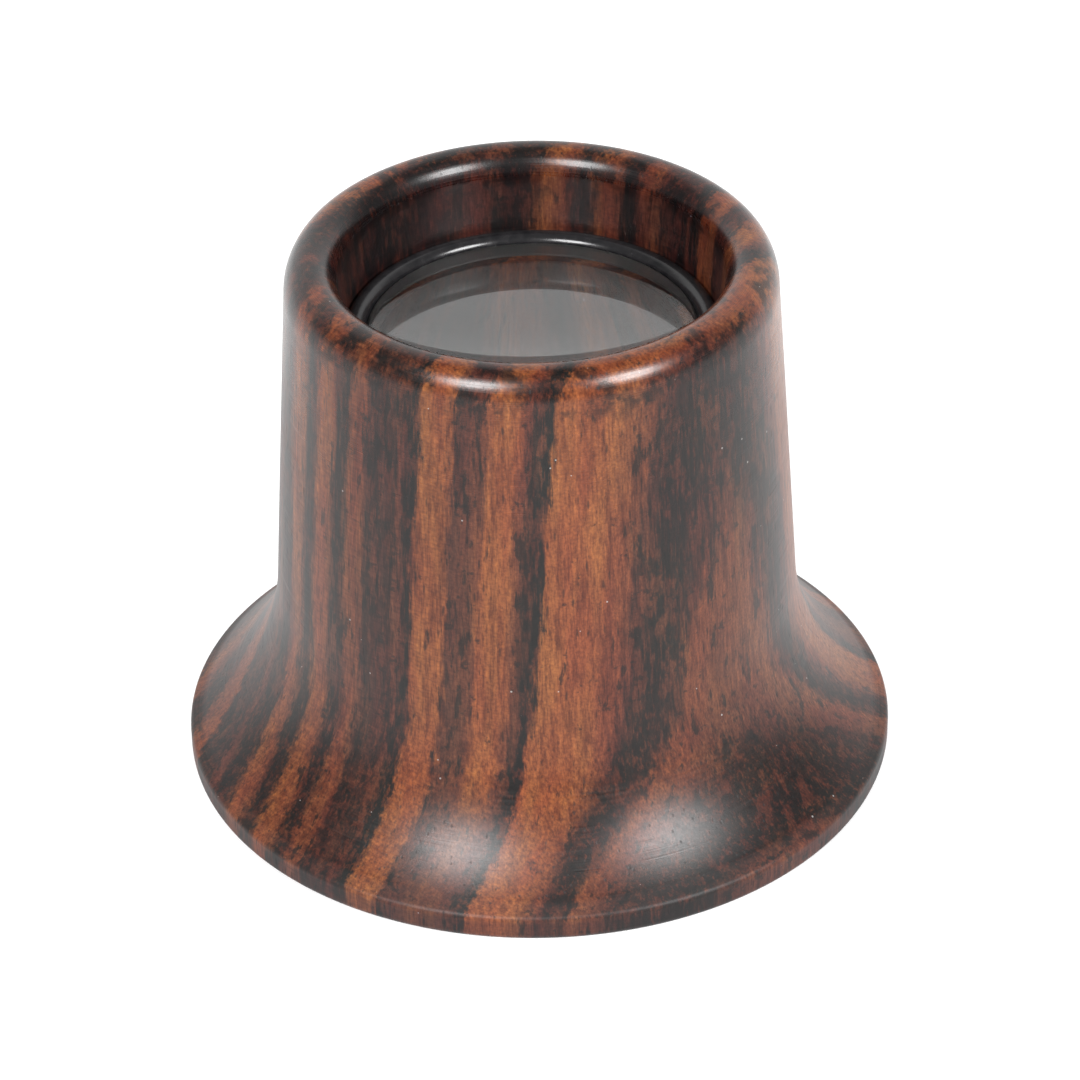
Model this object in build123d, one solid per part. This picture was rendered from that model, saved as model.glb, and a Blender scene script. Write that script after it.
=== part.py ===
from build123d import *
import math
import os

# Jeweller's eye loupe: a turned wooden eyecup with one magnifying lens near its narrow end.
# Millimetres. The origin is the centre of the eye rim's resting plane, and +Z is the loupe's axis.

# Outside of the wooden body
rim_radius = 19.0
rim_edge_radius = 0.4
flare_radius = 11.7
barrel_foot_radius = 13.84
barrel_foot_height = 10.35
barrel_top_radius = 12.75
barrel_top_height = 27.84

# Rounded lip at the narrow end
overall_height = 29.88
lip_crest_radius = 11.3
lip_inner_depth = 1.55
mouth_radius = 10.0

# Hollow that fits over the eye
hollow_rim_radius = 16.9
hollow_rim_rounding = 0.8
hollow_depth = 21.2
hollow_bow = 2.4
light_bore_radius = 7.9

# Lens: both faces are parts of spheres of one radius, with a plain cylindrical edge between them
lens_radius = 8.57
lens_face_radius = 57.0
lens_edge_height = 2.6
lens_edge_top = 25.36
lens_bevel = 0.12

# Round-section ring that sits around the lens's edge
ring_section_radius = 0.575
ring_centre_height = 25.12

# Fits of the lens and the ring in the wood
ring_clearance = 0.03
lens_clearance = 0.05
seat_gap = 0.02

# Sizes that follow from the ones above
ring_centre_radius = lens_radius + ring_clearance + ring_section_radius
ring_pocket_radius = ring_centre_radius + ring_section_radius + ring_clearance
ring_pocket_floor = ring_centre_height - ring_section_radius - seat_gap
lens_pocket_radius = lens_radius + lens_clearance
lens_edge_bottom = lens_edge_top - lens_edge_height


def face_sag(radius):
    """How far a lens face falls away from its crown at this distance from the axis."""
    return lens_face_radius - math.sqrt(lens_face_radius**2 - radius**2)


lens_crown_top = lens_edge_top + face_sag(lens_radius)
lens_crown_bottom = lens_edge_bottom - face_sag(lens_radius)
lens_seat_height = lens_crown_bottom + face_sag(light_bore_radius) - seat_gap


def turned(section):
    """Turn a flat section, drawn as (radius, height), about the loupe's axis."""
    return revolve(Plane.XZ * section, Axis.Z)


def outer_outline():
    """Rim band, concave flare, tapered barrel and the outer half of the lip, from the bottom up."""
    taper = math.atan2(barrel_foot_radius - barrel_top_radius, barrel_top_height - barrel_foot_height)
    centre_radius = barrel_foot_radius + flare_radius * math.cos(taper)
    centre_height = barrel_foot_height + flare_radius * math.sin(taper)
    rim_angle = math.acos((centre_radius - rim_radius) / flare_radius)
    band_height = centre_height - flare_radius * math.sin(rim_angle)
    foot = (barrel_foot_radius, barrel_foot_height)
    shoulder = (barrel_top_radius, barrel_top_height)
    return [
        Line((rim_radius, 0), (rim_radius, band_height)),
        CenterArc(
            (centre_radius, centre_height),
            flare_radius,
            180 + math.degrees(rim_angle),
            math.degrees(taper - rim_angle),
        ),
        Line(foot, shoulder),
        EllipticalCenterArc(
            (lip_crest_radius, barrel_top_height),
            barrel_top_radius - lip_crest_radius,
            overall_height - barrel_top_height,
            start_angle=0,
            arc_size=90,
        ),
    ]


def mouth_outline():
    """Inner half of the lip, and the stepped pockets that hold the ring and the lens, going down."""
    mouth_height = overall_height - lip_inner_depth
    return [
        EllipticalCenterArc(
            (lip_crest_radius, mouth_height),
            lip_crest_radius - mouth_radius,
            lip_inner_depth,
            start_angle=90,
            arc_size=90,
        ),
        Polyline(
            (mouth_radius, mouth_height),
            (ring_pocket_radius, lens_crown_top),
            (ring_pocket_radius, ring_pocket_floor),
            (lens_pocket_radius, ring_pocket_floor),
            (lens_pocket_radius, lens_seat_height),
            (light_bore_radius, lens_seat_height),
            (light_bore_radius, hollow_depth),
        ),
    ]


def hollow_outline():
    """Trumpet-shaped hollow, from the light bore down to the eye rim, and the rim's resting face."""
    return [
        SagittaArc((light_bore_radius, hollow_depth), (hollow_rim_radius, 0), -hollow_bow),
        Line((hollow_rim_radius, 0), (rim_radius, 0)),
    ]


def wooden_body():
    """The one turned piece of wood: barrel, lip, flare and eye rim."""
    outline = outer_outline() + mouth_outline() + hollow_outline()
    section = make_face(outline)
    rim_corners = section.vertices().filter_by(lambda corner: corner.X > rim_radius - 0.01)
    section = fillet(rim_corners, rim_edge_radius)
    inner_corner = section.vertices().filter_by(
        lambda corner: abs(corner.X - hollow_rim_radius) < 0.01 and corner.Y < 0.01
    )
    section = fillet(inner_corner, hollow_rim_rounding)
    return turned(section)


def magnifying_lens():
    """Glass lens, crowned on both faces, with its sharp corners taken off."""
    half_angle = math.degrees(math.asin(lens_radius / lens_face_radius))
    outline = [
        CenterArc((0, lens_crown_top - lens_face_radius), lens_face_radius, 90, -half_angle),
        Line((lens_radius, lens_edge_top), (lens_radius, lens_edge_bottom)),
        CenterArc((0, lens_crown_bottom + lens_face_radius), lens_face_radius, half_angle - 90, -half_angle),
        Line((0, lens_crown_bottom), (0, lens_crown_top)),
    ]
    section = make_face(outline)
    edge_corners = section.vertices().filter_by(lambda corner: corner.X > lens_radius - 0.01)
    section = chamfer(edge_corners, lens_bevel)
    return turned(section)


def retaining_ring():
    """Black round-section ring, squeezed between the lens's edge and the wood."""
    return Pos(0, 0, ring_centre_height) * Torus(ring_centre_radius, ring_section_radius)


os.makedirs("parts", exist_ok=True)
export_step(wooden_body(), "parts/wooden_body.step")
export_step(magnifying_lens(), "parts/magnifying_lens.step")
export_step(retaining_ring(), "parts/retaining_ring.step")
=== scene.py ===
import math

import bpy
from mathutils import Matrix, Vector


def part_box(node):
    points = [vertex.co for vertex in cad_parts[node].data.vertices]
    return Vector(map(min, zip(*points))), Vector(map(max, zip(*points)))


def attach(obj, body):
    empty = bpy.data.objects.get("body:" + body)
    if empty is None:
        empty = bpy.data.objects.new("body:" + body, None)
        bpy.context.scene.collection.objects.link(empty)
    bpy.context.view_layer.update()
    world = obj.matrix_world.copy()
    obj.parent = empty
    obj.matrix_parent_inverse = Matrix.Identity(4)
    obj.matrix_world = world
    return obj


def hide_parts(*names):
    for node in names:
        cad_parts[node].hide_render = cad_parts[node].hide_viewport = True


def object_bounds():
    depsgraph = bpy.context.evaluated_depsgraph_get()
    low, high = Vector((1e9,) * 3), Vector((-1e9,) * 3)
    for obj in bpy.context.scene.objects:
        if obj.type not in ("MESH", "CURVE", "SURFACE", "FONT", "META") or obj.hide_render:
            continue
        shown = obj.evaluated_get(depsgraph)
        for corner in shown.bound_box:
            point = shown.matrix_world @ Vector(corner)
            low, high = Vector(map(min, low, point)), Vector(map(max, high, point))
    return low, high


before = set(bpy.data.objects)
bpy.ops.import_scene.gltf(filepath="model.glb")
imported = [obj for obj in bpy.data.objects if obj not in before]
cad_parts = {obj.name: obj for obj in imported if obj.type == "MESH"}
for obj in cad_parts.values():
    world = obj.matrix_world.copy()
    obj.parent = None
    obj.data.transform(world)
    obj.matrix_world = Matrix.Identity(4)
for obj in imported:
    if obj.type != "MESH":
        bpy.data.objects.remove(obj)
cad_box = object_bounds()

MM = 0.001

# ---------------------------------------------------------------------------
# Camera, in the frame's own axes: it looks down at the front of the loupe.
CAMERA_AT_MM = (0.0, -201.0, 146.9)
CAMERA_YAW = 0.001
CAMERA_PITCH = 0.591
CAMERA_ROLL = -0.018
CAMERA_LENS_MM = 151.4
CAMERA_SENSOR_MM = 36.0

# ---------------------------------------------------------------------------
# The log that the body was turned from. Its growth layers are rings about a pith that lies
# outside the loupe, to the front right, and leans a little. Millimetres.
PITH_AT = (80.6, -77.8)
PITH_LEAN = (0.231, 0.25)
PITH_DISTANCE = math.hypot(*PITH_AT)
LEAN_FROM_HEIGHT = 15.0
ALONG_LAYERS = (0.695, 0.719, 0.0)

# Wood tones, linear RGB
TONES = {
    "ink": (0.0037, 0.0029, 0.0031),
    "dark": (0.0128, 0.0050, 0.0044),
    "umber": (0.033, 0.0096, 0.0072),
    "russet": (0.060, 0.0155, 0.0090),
    "brown": (0.092, 0.0240, 0.0112),
    "orange": (0.130, 0.0350, 0.0125),
}

# Growth layers across the log: how far each lies on the pith's side of the loupe's axis
# in millimetres, and its tone
FAR_LAYERS = [
    (-20.0, "umber"),
    (-18.8, "brown"),
    (-17.6, "ink"),
    (-16.4, "umber"),
    (-15.2, "orange"),
    (-14.4, "brown"),
    (-13.6, "dark"),
    (-12.7, "ink"),
    (-12.2, "brown"),
    (-11.0, "orange"),
    (-10.6, "dark"),
    (-9.9, "ink"),
    (-9.4, "umber"),
    (-9.1, "ink"),
    (-8.6, "russet"),
    (-8.3, "russet"),
    (-7.8, "ink"),
    (-6.9, "dark"),
    (-6.2, "orange"),
    (-5.4, "brown"),
    (-4.8, "ink"),
    (-4.3, "dark"),
    (-3.7, "orange"),
    (-2.8, "brown"),
    (-2.3, "ink"),
    (-1.8, "dark"),
    (-1.3, "brown"),
    (-0.6, "brown"),
    (-0.2, "umber"),
]
NEAR_LAYERS = [
    (-0.2, "umber"),
    (0.1, "dark"),
    (0.9, "umber"),
    (1.5, "dark"),
    (1.8, "russet"),
    (2.1, "umber"),
    (2.35, "ink"),
    (2.65, "ink"),
    (3.0, "orange"),
    (4.3, "orange"),
    (4.7, "umber"),
    (5.9, "russet"),
    (6.4, "orange"),
    (7.5, "orange"),
    (8.0, "russet"),
    (8.6, "ink"),
    (8.95, "ink"),
    (9.2, "orange"),
    (11.0, "orange"),
    (11.8, "brown"),
    (12.2, "umber"),
    (12.6, "ink"),
    (13.1, "dark"),
    (13.6, "brown"),
    (14.4, "russet"),
    (15.2, "dark"),
    (17.6, "ink"),
    (18.5, "russet"),
    (19.6, "orange"),
]
LAYER_SPAN = 20.0

# The red of a tone at which a layer starts to count as light, and at which it fully does
LIGHT_LAYER_RED = (0.03, 0.14)

# Sizes of the wood's figure in millimetres: one number, or one each for X, Y and Z
SWAY_SIZE = (8.0, 8.0, 22.0)
FLAME_SIZE = (0.38, 0.38, 5.0)
RAGGED_SIZE = (0.26, 0.26, 0.9)
BLOTCH_SIZE = (1.4, 1.4, 1.2)
STREAK_SIZE = (0.42, 0.42, 8.0)
FIBRE_SIZE = (0.14, 0.14, 1.1)
PORE_SPACING = (0.38, 0.38, 1.8)
DUST_SPACING = 1.2
TURNING_SIZE = 0.09
TURNING_PATCH_SIZE = 2.2
TURNING_PATCH_NOISE = (0.4, 0.62)

# Sizes in millimetres of what follows the growth layers: across them, along them and in Z
PATCH_SIZE = (1.2, 3.0, 9.0)
RAY_SIZE = (0.8, 0.12, 0.14)

# How far the layers' borders wander, in millimetres
SWAY_REACH = 1.0
FLAME_REACH = 1.3
RAGGED_REACH = 0.5

# Reddish patches and threads: size in X, Y and Z, the noise at which they start, the noise at
# which they are full, and strength
RED_KINDS = (
    ((0.9, 0.9, 2.2), 0.51, 0.60, 0.55),
    ((0.22, 0.22, 2.6), 0.52, 0.61, 0.50),
)

# Black threads and smudges: size across the layers, along them and in Z, how much rarer than the
# commonest they are, and strength
SMOKE_KINDS = (
    ((0.20, 0.20, 3.0), 0.03, 0.60),
    ((0.50, 0.90, 2.4), 0.00, 0.80),
    ((0.75, 0.75, 0.70), 0.02, 0.70),
)
SMOKE_START = 0.53
SMOKE_RARER_IN_LIGHT_LAYERS = 0.09
SMOKE_EDGE = 0.09

# Where the wood is marked or worn, and where shade is painted into its colour. Heights, radii and
# depths are in millimetres, and the mark grows from its first value to its second. Strengths go from 0
# to 1
DUSK_NEAR_EDGE = (4.6, 5.4)
DUSK_FAR_EDGE = (8.6, 7.9)
DUSK_HEIGHTS = (7.0, 4.0)
DUSK_STRENGTH = 0.65
LIP_HEIGHTS = (26.5, 28.6)
BLOTCH_NOISE = (0.49, 0.63)
BLOTCH_STRENGTH = 0.80
MOUTH_RADII = (10.9, 10.2)
MOUTH_HEIGHTS = (24.0, 25.0)
MOUTH_DULL_HEIGHTS = (28.8, 27.8)
# Painted shade: these strengths and the tint below darken the colour of the mouth's wall and of the
# rim's band next to the table
MOUTH_PAINTED_SHADE = 0.85
BAND_HEIGHTS = (1.35, 0.9)
BAND_PAINTED_SHADE = 0.8
PAINTED_SHADE_TINT = (0.58, 0.52, 0.70)
RIM_WEAR_RADII = (18.1, 18.6)

# Pores and dust: one in each cell, with their edges and radii as parts of a cell
PORES_LEFT_OUT = 0.35
PORE_EDGE = (0.08, 0.22)
PORE_DARKNESS = 0.62
DUST = (0.32, 0.30, 0.29)
DUST_RADII = (0.01, 0.05)
DUST_STRENGTH = 0.6

# The wax: its roughness on the flare and on the lip, the heights between which it changes, and
# what adds to it
FLARE_ROUGHNESS = 0.30
LIP_ROUGHNESS = 0.21
POLISH_HEIGHTS = (20.0, 27.0)
TURNING_ROUGHNESS = 0.3
RIM_WEAR_ROUGHNESS = 0.15
FIBRE_ROUGHNESS = 0.10
PORE_ROUGHNESS = 0.08
MOUTH_ROUGHNESS = 0.2
WAX_IOR = 1.5
WAX_SPECULAR = 0.38

# Relief in millimetres
FIBRE_RELIEF = 0.0025
TURNING_RELIEF = 0.0015
PORE_RELIEF = 0.002

# ---------------------------------------------------------------------------
# The turned outlines, as in the CAD model. Millimetres.
RIM_RADIUS = 19.0
RIM_EDGE_RADIUS = 0.4
FLARE_RADIUS = 11.7
BARREL_FOOT = (13.84, 10.35)
BARREL_TOP = (12.75, 27.84)
OVERALL_HEIGHT = 29.88
LIP_CREST_RADIUS = 11.3
LIP_INNER_DEPTH = 1.55
MOUTH_RADIUS = 10.0
RING_POCKET_RADIUS = 9.78
RING_POCKET_TOP = 26.008
RING_POCKET_FLOOR = 24.525
LENS_POCKET_RADIUS = 8.62
LENS_SEAT = 22.642
LIGHT_BORE_RADIUS = 7.9
HOLLOW_DEPTH = 21.2
HOLLOW_RIM_RADIUS = 16.9
HOLLOW_RIM_ROUNDING = 0.8
HOLLOW_BOW = 2.4

# The lens: both faces have the same radius, and its corners are bevelled
LENS_FACE_RADIUS = 57.0
LENS_BEVEL = 0.12
LENS_RINGS = 40

# How finely the turned pieces are divided
TURNED_SEGMENTS = 288
RIM_EDGE_STEPS = 10
UPPER_EDGE_STEPS = 8
FLARE_STEPS = 40
BARREL_STEPS = 18
LIP_STEPS = 20
MOUTH_STEPS = 6
HOLLOW_STEPS = 40
HOLLOW_RIM_STEPS = 10
SHARP_ANGLE = math.radians(30.0)

# ---------------------------------------------------------------------------
# Light. The surroundings' strengths, and the parts of a direction (its Y for the wall behind, its
# Z for the horizon) over which they change. Then the lamps: azimuth and elevation in degrees,
# distance and width in metres, power in watts. Then the floor, in metres but for its gap.
BACK_WALL = 1.3
CEILING = 0.32
HORIZON = 0.9
BACK_WALL_FADE = (0.25, 0.62)
HORIZON_FADE = (0.0, 0.22)
LAMP_DISTANCE = 1.5
LAMP_WIDTH = 0.58
LAMP_POWER = 25.0
LEFT_LAMP = (-30.0, 39.0)
RIGHT_LAMP = (48.0, 35.0)
FLOOR_HALF_WIDTH = 3.0
FLOOR_GAP_MM = 0.01
FLOOR_GLOW = 0.45


# ---------------------------------------------------------------------------
# Node helpers


# A vector node's scale can't be found by its name while the node's operation doesn't use it
SCALE_SOCKET = 3


class Nodes:
    """A material's node tree, with short names for the nodes used here."""

    def __init__(self, name):
        self.material = bpy.data.materials.new(name)
        self.material.use_nodes = True
        self.tree = self.material.node_tree
        self.shader = next(n for n in self.tree.nodes if n.type == "BSDF_PRINCIPLED")

    def add(self, kind, **settings):
        node = self.tree.nodes.new(kind)
        for key, value in settings.items():
            setattr(node, key, value)
        return node

    def feed(self, socket, value):
        """Join an output to a socket, or set a plain value on it."""
        if isinstance(value, bpy.types.NodeSocket):
            self.tree.links.new(value, socket)
        else:
            socket.default_value = value

    def math(self, operation, a, b=0.0, c=0.0):
        node = self.add("ShaderNodeMath", operation=operation)
        for socket, value in zip(node.inputs, (a, b, c)):
            self.feed(socket, value)
        return node.outputs[0]

    def vector(self, operation, a, b=(0.0, 0.0, 0.0), scale=1.0):
        node = self.add("ShaderNodeVectorMath", operation=operation)
        self.feed(node.inputs[0], a)
        self.feed(node.inputs[1], b)
        node.inputs[SCALE_SOCKET].default_value = scale
        return node.outputs["Value" if operation in ("LENGTH", "DOT_PRODUCT") else "Vector"]

    def split(self, vector):
        node = self.add("ShaderNodeSeparateXYZ")
        self.feed(node.inputs[0], vector)
        return node.outputs

    def join(self, x, y, z):
        node = self.add("ShaderNodeCombineXYZ")
        for socket, value in zip(node.inputs, (x, y, z)):
            self.feed(socket, value)
        return node.outputs[0]

    def noise(self, at, size, detail=2.0, roughness=0.5, output="Fac"):
        """Noise whose grains measure about `size` (a number, or one per axis) in the units of `at`."""
        sizes = size if isinstance(size, tuple) else (size,) * 3
        scaled = self.vector("MULTIPLY", at, tuple(1.0 / s for s in sizes))
        node = self.add("ShaderNodeTexNoise", noise_dimensions="3D")
        self.feed(node.inputs["Vector"], scaled)
        node.inputs["Scale"].default_value = 1.0
        node.inputs["Detail"].default_value = detail
        node.inputs["Roughness"].default_value = roughness
        return node.outputs[output]

    def cells(self, at, size):
        """Voronoi cells of about `size`: the distance to each cell's centre, and a random colour."""
        sizes = size if isinstance(size, tuple) else (size,) * 3
        scaled = self.vector("MULTIPLY", at, tuple(1.0 / s for s in sizes))
        node = self.add("ShaderNodeTexVoronoi", voronoi_dimensions="3D", feature="F1")
        self.feed(node.inputs["Vector"], scaled)
        node.inputs["Scale"].default_value = 1.0
        return node.outputs["Distance"], node.outputs["Color"]

    def ramp(self, value, low, high, to_low=0.0, to_high=1.0, smooth=True):
        node = self.add("ShaderNodeMapRange", interpolation_type="SMOOTHSTEP" if smooth else "LINEAR")
        for socket, item in zip(node.inputs, (value, low, high, to_low, to_high)):
            self.feed(socket, item)
        return node.outputs[0]

    def mix(self, factor, a, b, blend="MIX"):
        """Blend two colours. A Mix node's sockets 6, 7 and output 2 are its colour ones."""
        node = self.add("ShaderNodeMix", data_type="RGBA", blend_type=blend)
        self.feed(node.inputs[0], factor)
        self.feed(node.inputs[6], a)
        self.feed(node.inputs[7], b)
        return node.outputs[2]

    def stops(self, value, stops):
        """A colour ramp from (position, linear RGB) pairs."""
        node = self.add("ShaderNodeValToRGB")
        self.feed(node.inputs[0], value)
        elements = node.color_ramp.elements
        while len(elements) > 1:
            elements.remove(elements[-1])
        for index, (position, colour) in enumerate(stops):
            element = elements[0] if index == 0 else elements.new(position)
            element.position = position
            element.color = (*colour, 1.0)
        return node.outputs[0]

    def multiply(self, colour, factor):
        return self.mix(1.0, colour, factor, "MULTIPLY")

    def bump(self, height, distance, normal=None):
        node = self.add("ShaderNodeBump")
        self.feed(node.inputs["Height"], height)
        node.inputs["Distance"].default_value = distance
        node.inputs["Strength"].default_value = 1.0
        if normal is not None:
            self.feed(node.inputs["Normal"], normal)
        return node.outputs[0]

    def place_mm(self):
        """The place in the piece, in millimetres from the frame's origin."""
        coordinates = self.add("ShaderNodeTexCoord").outputs["Object"]
        return self.vector("SCALE", coordinates, scale=1.0 / MM)


def rgba(colour):
    return (*colour, 1.0)


# ---------------------------------------------------------------------------
# Materials


def layer_colour(n, depth):
    """The tone of the growth layer at this depth across the log."""

    def half(layers):
        stops = [((mm + LAYER_SPAN) / (2 * LAYER_SPAN), TONES[tone]) for mm, tone in layers]
        return n.stops(place, stops)

    place = n.ramp(depth, -LAYER_SPAN, LAYER_SPAN, smooth=False)
    near_side = n.math("GREATER_THAN", depth, FAR_LAYERS[-1][0])
    return n.mix(near_side, half(FAR_LAYERS), half(NEAR_LAYERS))


def place_in_log(n, place):
    """The place in the log: depth across the growth layers, way along them, and height."""
    half = (0.5, 0.5, 0.5)
    sway = n.vector("SUBTRACT", n.noise(place, SWAY_SIZE, 1.5, output="Color"), half)
    swayed = n.vector("ADD", place, n.vector("MULTIPLY", sway, (SWAY_REACH, SWAY_REACH, 0.0)))
    x, y, z = n.split(swayed)
    height = n.math("SUBTRACT", z, LEAN_FROM_HEIGHT)
    from_pith_x = n.math("SUBTRACT", x, n.math("MULTIPLY_ADD", height, PITH_LEAN[0], PITH_AT[0]))
    from_pith_y = n.math("SUBTRACT", y, n.math("MULTIPLY_ADD", height, PITH_LEAN[1], PITH_AT[1]))
    ring_radius = n.vector("LENGTH", n.join(from_pith_x, from_pith_y, 0.0))
    depth = n.math("SUBTRACT", PITH_DISTANCE, ring_radius)
    return depth, n.vector("DOT_PRODUCT", place, ALONG_LAYERS), z


def ragged_depth(n, place, depth):
    """The depth with borders that run in flames up the grain and are ragged close to."""
    flame = n.math("SUBTRACT", n.noise(place, FLAME_SIZE, 3.0, 0.6), 0.5)
    ragged = n.math("SUBTRACT", n.noise(place, RAGGED_SIZE, 2.0, 0.6), 0.5)
    depth = n.math("MULTIPLY_ADD", flame, FLAME_REACH, depth)
    return n.math("MULTIPLY_ADD", ragged, RAGGED_REACH, depth)


def red_and_smoke(n, colour, place, log_place, lightness):
    """Reddish patches and threads in the dark layers, and black ones, mostly in the dark layers."""
    darkness = n.math("SUBTRACT", 1.0, lightness)
    for size, start, full, strength in RED_KINDS:
        red = n.ramp(n.noise(place, size, 3.0, 0.62), start, full, 0.0, strength)
        colour = n.mix(n.math("MULTIPLY", red, darkness), colour, rgba(TONES["russet"]))
    start = n.math("MULTIPLY_ADD", lightness, SMOKE_RARER_IN_LIGHT_LAYERS, SMOKE_START)
    for size, rarer, strength in SMOKE_KINDS:
        smoke = n.noise(log_place, size, 4.0, 0.62)
        smoke = n.math("SUBTRACT", smoke, n.math("ADD", start, rarer))
        colour = n.mix(n.ramp(smoke, 0.0, SMOKE_EDGE, 0.0, strength), colour, rgba(TONES["ink"]))
    return colour


def layered_figure(n, place, log_place, depth, z):
    """Growth layers with their red and black markings, a dusky stretch and a blotched lip."""
    depth = ragged_depth(n, place, depth)
    colour = layer_colour(n, depth)
    lightness = n.ramp(n.split(colour)[0], *LIGHT_LAYER_RED)

    # The light layer to the left of the main vein darkens where it runs out over the flare
    dusk = n.math("MULTIPLY", n.ramp(depth, *DUSK_NEAR_EDGE), n.ramp(depth, *DUSK_FAR_EDGE))
    dusk = n.math("MULTIPLY", dusk, n.ramp(z, *DUSK_HEIGHTS, 0.0, DUSK_STRENGTH))
    colour = n.mix(dusk, colour, rgba(TONES["umber"]))

    colour = red_and_smoke(n, colour, place, log_place, lightness)

    # Black blotches on the lip, where the cut crosses the grain
    blotch = n.ramp(n.noise(place, BLOTCH_SIZE, 4.0, 0.58), *BLOTCH_NOISE)
    blotch = n.math("MULTIPLY", blotch, n.ramp(z, *LIP_HEIGHTS, 0.0, BLOTCH_STRENGTH))
    return n.mix(blotch, colour, rgba(TONES["ink"]))


def fine_figure(n, colour, place, log_place, fibre):
    """Patches that are yellower or redder, streaks and fibres up the grain, and rays."""
    patch = n.noise(log_place, PATCH_SIZE, 2.0)
    colour = n.multiply(colour, n.stops(patch, [
        (0.36, (0.92, 0.79, 0.80)),
        (0.64, (1.06, 1.20, 1.02)),
    ]))
    streak = n.noise(place, STREAK_SIZE, 3.0, 0.6)
    colour = n.multiply(colour, n.stops(streak, [
        (0.36, (0.72, 0.64, 0.64)),
        (0.50, (1.00, 1.00, 1.00)),
        (0.64, (1.17, 1.22, 1.14)),
    ]))
    colour = n.multiply(colour, n.stops(fibre, [
        (0.32, (0.56, 0.48, 0.50)),
        (0.50, (1.00, 1.00, 1.00)),
        (0.68, (1.42, 1.50, 1.40)),
    ]))
    # Rays are short flecks that point at the pith
    ray = n.noise(log_place, RAY_SIZE, 1.0)
    return n.multiply(colour, n.stops(ray, [
        (0.30, (0.78, 0.74, 0.74)),
        (0.70, (1.20, 1.24, 1.22)),
    ]))


def open_pores(n, place):
    """Short dashes along the grain, and dots where the cut crosses it."""
    distance, kind = n.cells(place, PORE_SPACING)
    chosen = n.math("GREATER_THAN", n.split(kind)[0], PORES_LEFT_OUT)
    return n.math("MULTIPLY", n.ramp(distance, *PORE_EDGE, 1.0, 0.0), chosen)


def dust_specks(n, place):
    """A few round specks of different sizes."""
    distance, kind = n.cells(place, DUST_SPACING)
    return n.math("LESS_THAN", distance, n.ramp(n.split(kind)[0], 0.0, 1.0, *DUST_RADII))


def turning_circles(n, place, radius):
    """Faint circles left by turning and sanding, broken along their length."""
    circles = n.noise(n.join(radius, 0.0, n.split(place)[2]), TURNING_SIZE, 2.0, 0.6)
    broken = n.ramp(n.noise(place, TURNING_PATCH_SIZE, 2.0), *TURNING_PATCH_NOISE)
    return n.math("MULTIPLY", n.math("SUBTRACT", circles, 0.5), broken)


def wood():
    """Waxed rosewood: growth layers with their markings, fine figure, pores, dust, painted shade in
    the mouth and on the rim's band, wear and polish.
    """
    n = Nodes("waxed_rosewood")
    place = n.place_mm()
    depth, along_layers, z = place_in_log(n, place)
    log_place = n.join(depth, along_layers, z)
    radius = n.vector("LENGTH", n.vector("MULTIPLY", place, (1.0, 1.0, 0.0)))
    fibre = n.noise(place, FIBRE_SIZE, 3.0, 0.68)
    pore = open_pores(n, place)
    turning = turning_circles(n, place, radius)

    colour = layered_figure(n, place, log_place, depth, z)
    colour = fine_figure(n, colour, place, log_place, fibre)
    colour = n.mix(n.math("MULTIPLY", pore, PORE_DARKNESS), colour, rgba(TONES["ink"]))
    colour = n.mix(n.math("MULTIPLY", dust_specks(n, place), DUST_STRENGTH), colour, rgba(DUST))

    # Painted shade: the mouth's wall and the rim's band by the table are darkened in colour, standing
    # in for the shade in the recess and at the foot
    in_mouth = n.math("MULTIPLY", n.ramp(radius, *MOUTH_RADII), n.ramp(z, *MOUTH_HEIGHTS))
    painted_shade = n.math(
        "MAXIMUM",
        n.math("MULTIPLY", in_mouth, MOUTH_PAINTED_SHADE),
        n.math("MULTIPLY", n.ramp(z, *BAND_HEIGHTS), BAND_PAINTED_SHADE),
    )
    colour = n.mix(painted_shade, colour, n.multiply(colour, rgba(PAINTED_SHADE_TINT)))
    n.feed(n.shader.inputs["Base Color"], colour)

    # Handling has polished the lip more than the flare, and dulled the rim's edge
    roughness = n.ramp(z, *POLISH_HEIGHTS, FLARE_ROUGHNESS, LIP_ROUGHNESS)
    added = (
        (turning, TURNING_ROUGHNESS),
        (n.ramp(radius, *RIM_WEAR_RADII), RIM_WEAR_ROUGHNESS),
        (n.math("SUBTRACT", 1.0, fibre), FIBRE_ROUGHNESS),
        (pore, PORE_ROUGHNESS),
        (n.math("MULTIPLY", in_mouth, n.ramp(z, *MOUTH_DULL_HEIGHTS)), MOUTH_ROUGHNESS),
    )
    for where, amount in added:
        roughness = n.math("MULTIPLY_ADD", where, amount, roughness)
    n.feed(n.shader.inputs["Roughness"], roughness)

    relief = n.bump(fibre, FIBRE_RELIEF * MM)
    relief = n.bump(turning, TURNING_RELIEF * MM, relief)
    relief = n.bump(n.math("SUBTRACT", 1.0, pore), PORE_RELIEF * MM, relief)
    n.feed(n.shader.inputs["Normal"], relief)
    n.shader.inputs["IOR"].default_value = WAX_IOR
    n.shader.inputs["Specular IOR Level"].default_value = WAX_SPECULAR
    return n.material


def ring_black():
    """Glossy black, with the soft unevenness of a moulded ring."""
    n = Nodes("gloss_black")
    place = n.place_mm()
    mottle = n.noise(place, 0.5, 3.0)
    n.feed(n.shader.inputs["Base Color"], n.stops(mottle, [
        (0.3, (0.006, 0.006, 0.007)),
        (0.7, (0.014, 0.013, 0.014)),
    ]))
    n.feed(n.shader.inputs["Roughness"], n.math("MULTIPLY_ADD", mottle, 0.12, 0.14))
    n.shader.inputs["Specular IOR Level"].default_value = 0.4
    n.feed(n.shader.inputs["Normal"], n.bump(n.noise(place, 0.12, 2.0), 0.001 * MM))
    return n.material


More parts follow.
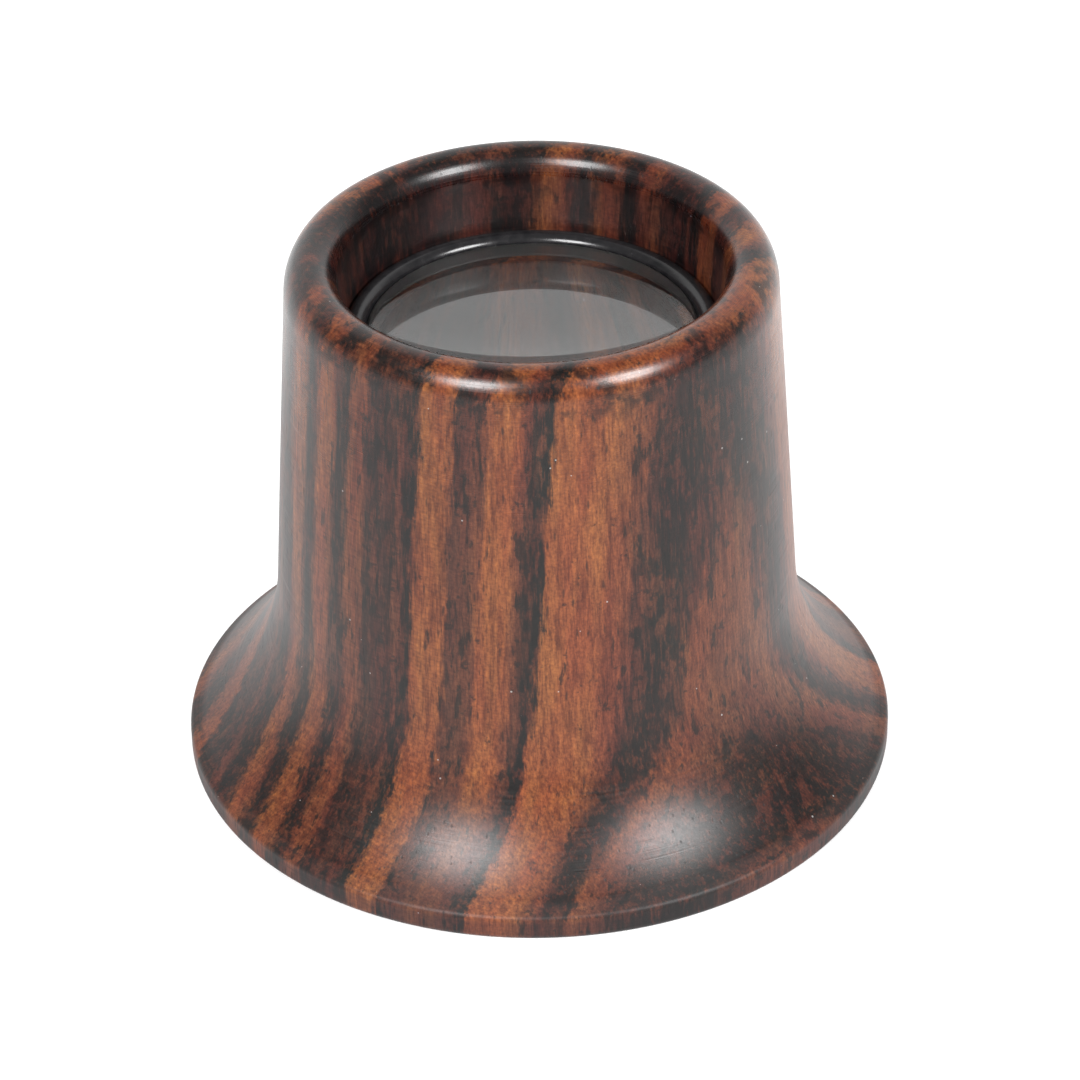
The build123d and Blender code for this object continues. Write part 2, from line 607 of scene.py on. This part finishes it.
def lens_glass():
    """Clear polished glass, with the faintest green."""
    n = Nodes("polished_glass")
    n.feed(n.shader.inputs["Base Color"], n.stops(n.noise(n.place_mm(), 6.0, 1.0), [
        (0.3, (0.965, 0.982, 0.974)),
        (0.7, (0.975, 0.988, 0.981)),
    ]))
    n.shader.inputs["Roughness"].default_value = 0.0
    n.shader.inputs["IOR"].default_value = 1.52
    n.shader.inputs["Transmission Weight"].default_value = 1.0
    return n.material


def ground_edge():
    """The lens's ground edge, dark in its seat."""
    n = Nodes("ground_glass_edge")
    grit = n.noise(n.place_mm(), 0.08, 3.0, 0.7)
    n.feed(n.shader.inputs["Base Color"], n.stops(grit, [
        (0.3, (0.020, 0.019, 0.019)),
        (0.7, (0.045, 0.043, 0.042)),
    ]))
    n.feed(n.shader.inputs["Roughness"], n.math("MULTIPLY_ADD", grit, 0.3, 0.5))
    n.feed(n.shader.inputs["Normal"], n.bump(grit, 0.006 * MM))
    return n.material


def table_white():
    """Matt white paper for the floor, lit a little from below as on a light table."""
    n = Nodes("white_table")
    speck = n.noise(n.place_mm(), 4.0, 3.0)
    n.feed(n.shader.inputs["Base Color"], n.stops(speck, [
        (0.3, (0.60, 0.60, 0.60)),
        (0.7, (0.64, 0.64, 0.64)),
    ]))
    n.shader.inputs["Roughness"].default_value = 0.9
    n.shader.inputs["Specular IOR Level"].default_value = 0.1
    n.shader.inputs["Emission Color"].default_value = (1.0, 1.0, 1.0, 1.0)
    n.shader.inputs["Emission Strength"].default_value = FLOOR_GLOW
    return n.material


# ---------------------------------------------------------------------------
# Pieces


def repaint(node, material):
    """Give a CAD node a better material."""
    for material_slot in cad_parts[node].material_slots:
        material_slot.material = material


def arc(centre, radii, start, end, steps):
    """Points along part of a circle or ellipse, between two angles in radians."""
    points = []
    for i in range(steps + 1):
        angle = start + (end - start) * i / steps
        points.append((centre[0] + radii[0] * math.cos(angle), centre[1] + radii[1] * math.sin(angle)))
    return points


def along(start, end, steps):
    """Points along a straight line, without its ends."""
    return [
        tuple(a + (b - a) * i / steps for a, b in zip(start, end))
        for i in range(1, steps)
    ]


def turned(name, outline, materials, is_second=lambda stretch: False):
    """Turn an outline of (radius, height) points in millimetres about the loupe's axis.

    An outline that starts and ends on the axis makes a solid with two poles, and any other is
    closed from its last point to its first. `is_second` says which stretches, counted from the
    outline's first, take the second material."""
    poles = outline[0][0] == 0.0
    rings = outline[1:-1] if poles else outline
    corners = []
    for radius, height in rings:
        for k in range(TURNED_SEGMENTS):
            angle = math.tau * k / TURNED_SEGMENTS
            corners.append((radius * math.cos(angle) * MM, radius * math.sin(angle) * MM, height * MM))
    faces = []
    kinds = []
    stretches = len(rings) - 1 if poles else len(rings)
    for ring in range(stretches):
        upper = ring * TURNED_SEGMENTS
        lower = (ring + 1) % len(rings) * TURNED_SEGMENTS
        for k in range(TURNED_SEGMENTS):
            after = (k + 1) % TURNED_SEGMENTS
            faces.append((upper + k, lower + k, lower + after, upper + after))
            kinds.append(1 if is_second(ring) else 0)
    if poles:
        top = len(corners)
        corners.append((0.0, 0.0, outline[0][1] * MM))
        corners.append((0.0, 0.0, outline[-1][1] * MM))
        last = (len(rings) - 1) * TURNED_SEGMENTS
        for k in range(TURNED_SEGMENTS):
            after = (k + 1) % TURNED_SEGMENTS
            faces.append((top, k, after))
            faces.append((top + 1, last + after, last + k))
            kinds += [0, 0]
    mesh = bpy.data.meshes.new(name)
    mesh.from_pydata(corners, [], faces)
    for material in materials:
        mesh.materials.append(material)
    for polygon, kind in zip(mesh.polygons, kinds):
        polygon.use_smooth = True
        polygon.material_index = kind
    mesh.set_sharp_from_angle(angle=SHARP_ANGLE)
    piece = bpy.data.objects.new(name, mesh)
    bpy.context.scene.collection.objects.link(piece)
    return piece


def outside_outline():
    """Rim band, flare, barrel and lip, from the rim's resting face up to the lip's crest."""
    quarter = math.pi / 2
    taper = math.atan2(BARREL_FOOT[0] - BARREL_TOP[0], BARREL_TOP[1] - BARREL_FOOT[1])
    flare_centre = (
        BARREL_FOOT[0] + FLARE_RADIUS * math.cos(taper),
        BARREL_FOOT[1] + FLARE_RADIUS * math.sin(taper),
    )
    edge_radii = (RIM_EDGE_RADIUS, RIM_EDGE_RADIUS)
    edge_centre = RIM_RADIUS - RIM_EDGE_RADIUS
    across = flare_centre[0] - edge_centre
    upper_edge = flare_centre[1] - math.sqrt((FLARE_RADIUS + RIM_EDGE_RADIUS) ** 2 - across**2)
    towards_flare = math.atan2(flare_centre[1] - upper_edge, across)
    points = arc((edge_centre, RIM_EDGE_RADIUS), edge_radii, -quarter, 0.0, RIM_EDGE_STEPS)
    points += arc((edge_centre, upper_edge), edge_radii, 0.0, towards_flare, UPPER_EDGE_STEPS)
    points += arc(
        flare_centre,
        (FLARE_RADIUS, FLARE_RADIUS),
        math.pi + towards_flare,
        math.pi + taper,
        FLARE_STEPS,
    )[1:]
    points += along(BARREL_FOOT, BARREL_TOP, BARREL_STEPS)
    lip_radii = (BARREL_TOP[0] - LIP_CREST_RADIUS, OVERALL_HEIGHT - BARREL_TOP[1])
    points += arc((LIP_CREST_RADIUS, BARREL_TOP[1]), lip_radii, 0.0, quarter, LIP_STEPS)
    return points


def inside_outline():
    """The lip's inner half, the stepped pockets, the light bore and the eye's hollow, going down."""
    mouth_height = OVERALL_HEIGHT - LIP_INNER_DEPTH
    lip_radii = (LIP_CREST_RADIUS - MOUTH_RADIUS, LIP_INNER_DEPTH)
    points = arc((LIP_CREST_RADIUS, mouth_height), lip_radii, math.pi / 2, math.pi, LIP_STEPS)[1:]
    mouth_foot = (RING_POCKET_RADIUS, RING_POCKET_TOP)
    points += along((MOUTH_RADIUS, mouth_height), mouth_foot, MOUTH_STEPS)
    points += [
        mouth_foot,
        (RING_POCKET_RADIUS, RING_POCKET_FLOOR),
        (LENS_POCKET_RADIUS, RING_POCKET_FLOOR),
        (LENS_POCKET_RADIUS, LENS_SEAT),
        (LIGHT_BORE_RADIUS, LENS_SEAT),
    ]
    # The hollow is an arc through the bore's foot and the rim, bowed towards the axis
    top = Vector((LIGHT_BORE_RADIUS, HOLLOW_DEPTH))
    foot = Vector((HOLLOW_RIM_RADIUS, 0.0))
    chord = foot - top
    bow_radius = (chord.length**2 / 4 + HOLLOW_BOW**2) / (2 * HOLLOW_BOW)
    into_wood = Vector((-chord.y, chord.x)).normalized()
    centre = (top + foot) / 2 + into_wood * (bow_radius - HOLLOW_BOW)
    rounding = HOLLOW_RIM_ROUNDING
    down = centre.y - rounding
    rounding_centre = (centre.x - math.sqrt((bow_radius - rounding) ** 2 - down**2), rounding)
    start = math.atan2(top.y - centre.y, top.x - centre.x)
    meet = math.pi + math.atan2(down, centre.x - rounding_centre[0])
    points += arc(centre, (bow_radius, bow_radius), start, meet, HOLLOW_STEPS)
    points += arc(rounding_centre, (rounding, rounding), meet, 1.5 * math.pi, HOLLOW_RIM_STEPS)[1:]
    return points


def make_wooden_body():
    """The turned wooden body again, with evenly divided curves."""
    outline = outside_outline() + inside_outline()
    outline.reverse()
    body = turned("turned_body", outline, [wood()])
    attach(body, "body")
    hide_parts("wooden_body")


def face_sag(radius):
    """How far a lens face falls from its crown at this radius."""
    return LENS_FACE_RADIUS - math.sqrt(LENS_FACE_RADIUS**2 - radius**2)


def make_lens():
    """The lens again, with finely divided faces and a ground edge."""
    low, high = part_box("magnifying_lens")
    radius = (high.x - low.x) / 2 / MM
    top = high.z / MM
    bottom = low.z / MM
    flat = radius - LENS_BEVEL
    edge_top = top - face_sag(radius) - LENS_BEVEL
    edge_bottom = bottom + face_sag(radius) + LENS_BEVEL
    steps = [flat * i / LENS_RINGS for i in range(LENS_RINGS + 1)]
    # The two bevels and the edge between them are ground
    outline = [(r, top - face_sag(r)) for r in steps]
    outline += [(radius, edge_top), (radius, edge_bottom)]
    outline += [(r, bottom + face_sag(r)) for r in reversed(steps)]
    lens = turned(
        "polished_lens",
        outline,
        [lens_glass(), ground_edge()],
        lambda stretch: LENS_RINGS - 1 <= stretch <= LENS_RINGS + 1,
    )
    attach(lens, "lens")
    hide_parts("magnifying_lens")


# ---------------------------------------------------------------------------
# Stage


def make_camera():
    """The camera, from its place and the turns about its own axes."""
    forward = Vector((
        math.sin(CAMERA_YAW) * math.cos(CAMERA_PITCH),
        math.cos(CAMERA_YAW) * math.cos(CAMERA_PITCH),
        -math.sin(CAMERA_PITCH),
    ))
    level_right = Vector((math.cos(CAMERA_YAW), -math.sin(CAMERA_YAW), 0.0))
    level_up = level_right.cross(forward)
    right = level_right * math.cos(CAMERA_ROLL) + level_up * math.sin(CAMERA_ROLL)
    up = level_up * math.cos(CAMERA_ROLL) - level_right * math.sin(CAMERA_ROLL)
    data = bpy.data.cameras.new("camera")
    data.lens = CAMERA_LENS_MM
    data.sensor_width = CAMERA_SENSOR_MM
    camera = bpy.data.objects.new("camera", data)
    axes = Matrix((right, up, -forward)).transposed().to_4x4()
    camera.matrix_world = Matrix.Translation(Vector(CAMERA_AT_MM) * MM) @ axes
    bpy.context.scene.collection.objects.link(camera)
    bpy.context.scene.camera = camera


def make_world():
    """White light: strong from the wall behind, weak from above and in front, pale at the horizon."""
    world = bpy.data.worlds.new("studio")
    world.use_nodes = True
    tree = world.node_tree

    def math_node(operation, a, b):
        node = tree.nodes.new("ShaderNodeMath")
        node.operation = operation
        for socket, value in zip(node.inputs, (a, b)):
            if isinstance(value, bpy.types.NodeSocket):
                tree.links.new(value, socket)
            else:
                socket.default_value = value
        return node.outputs[0]

    def fade(value, span, to_low, to_high):
        node = tree.nodes.new("ShaderNodeMapRange")
        node.interpolation_type = "SMOOTHSTEP"
        tree.links.new(value, node.inputs[0])
        for socket, number in zip(node.inputs[1:], (*span, to_low, to_high)):
            socket.default_value = number
        return node.outputs[0]

    direction = tree.nodes.new("ShaderNodeTexCoord").outputs["Generated"]
    split = tree.nodes.new("ShaderNodeSeparateXYZ")
    tree.links.new(direction, split.inputs[0])
    wall = fade(split.outputs["Y"], BACK_WALL_FADE, CEILING, BACK_WALL)
    low_light = fade(math_node("ABSOLUTE", split.outputs["Z"], 0.0), HORIZON_FADE, HORIZON, 0.0)
    background = next(n for n in tree.nodes if n.type == "BACKGROUND")
    background.inputs["Color"].default_value = (1.0, 1.0, 1.0, 1.0)
    tree.links.new(math_node("MAXIMUM", wall, low_light), background.inputs["Strength"])
    bpy.context.scene.world = world


def make_lamp(name, azimuth, elevation):
    """A round softbox aimed at the loupe. Azimuth is from the front, positive to the right."""
    a = math.radians(azimuth)
    e = math.radians(elevation)
    away = Vector((math.sin(a) * math.cos(e), -math.cos(a) * math.cos(e), math.sin(e)))
    data = bpy.data.lights.new(name, "AREA")
    data.shape = "ELLIPSE"
    data.size = LAMP_WIDTH
    data.size_y = LAMP_WIDTH
    data.energy = LAMP_POWER
    lamp = bpy.data.objects.new(name, data)
    target = (cad_box[0] + cad_box[1]) / 2
    lamp.location = target + away * LAMP_DISTANCE
    lamp.rotation_mode = "QUATERNION"
    lamp.rotation_quaternion = away.to_track_quat("Z", "Y")
    bpy.context.scene.collection.objects.link(lamp)


def make_floor():
    """The table top, just under the eye rim."""
    mesh = bpy.data.meshes.new("table")
    low = cad_box[0].z - FLOOR_GAP_MM * MM
    signs = ((-1, -1), (1, -1), (1, 1), (-1, 1))
    corners = [(x * FLOOR_HALF_WIDTH, y * FLOOR_HALF_WIDTH, low) for x, y in signs]
    mesh.from_pydata(corners, [], [(0, 1, 2, 3)])
    table = bpy.data.objects.new("table", mesh)
    mesh.materials.append(table_white())
    bpy.context.scene.collection.objects.link(table)


bpy.context.scene.view_settings.view_transform = "Standard"
make_camera()
make_world()
make_lamp("key_left", *LEFT_LAMP)
make_lamp("key_right", *RIGHT_LAMP)
make_floor()

make_wooden_body()
repaint("retaining_ring", ring_black())
make_lens()
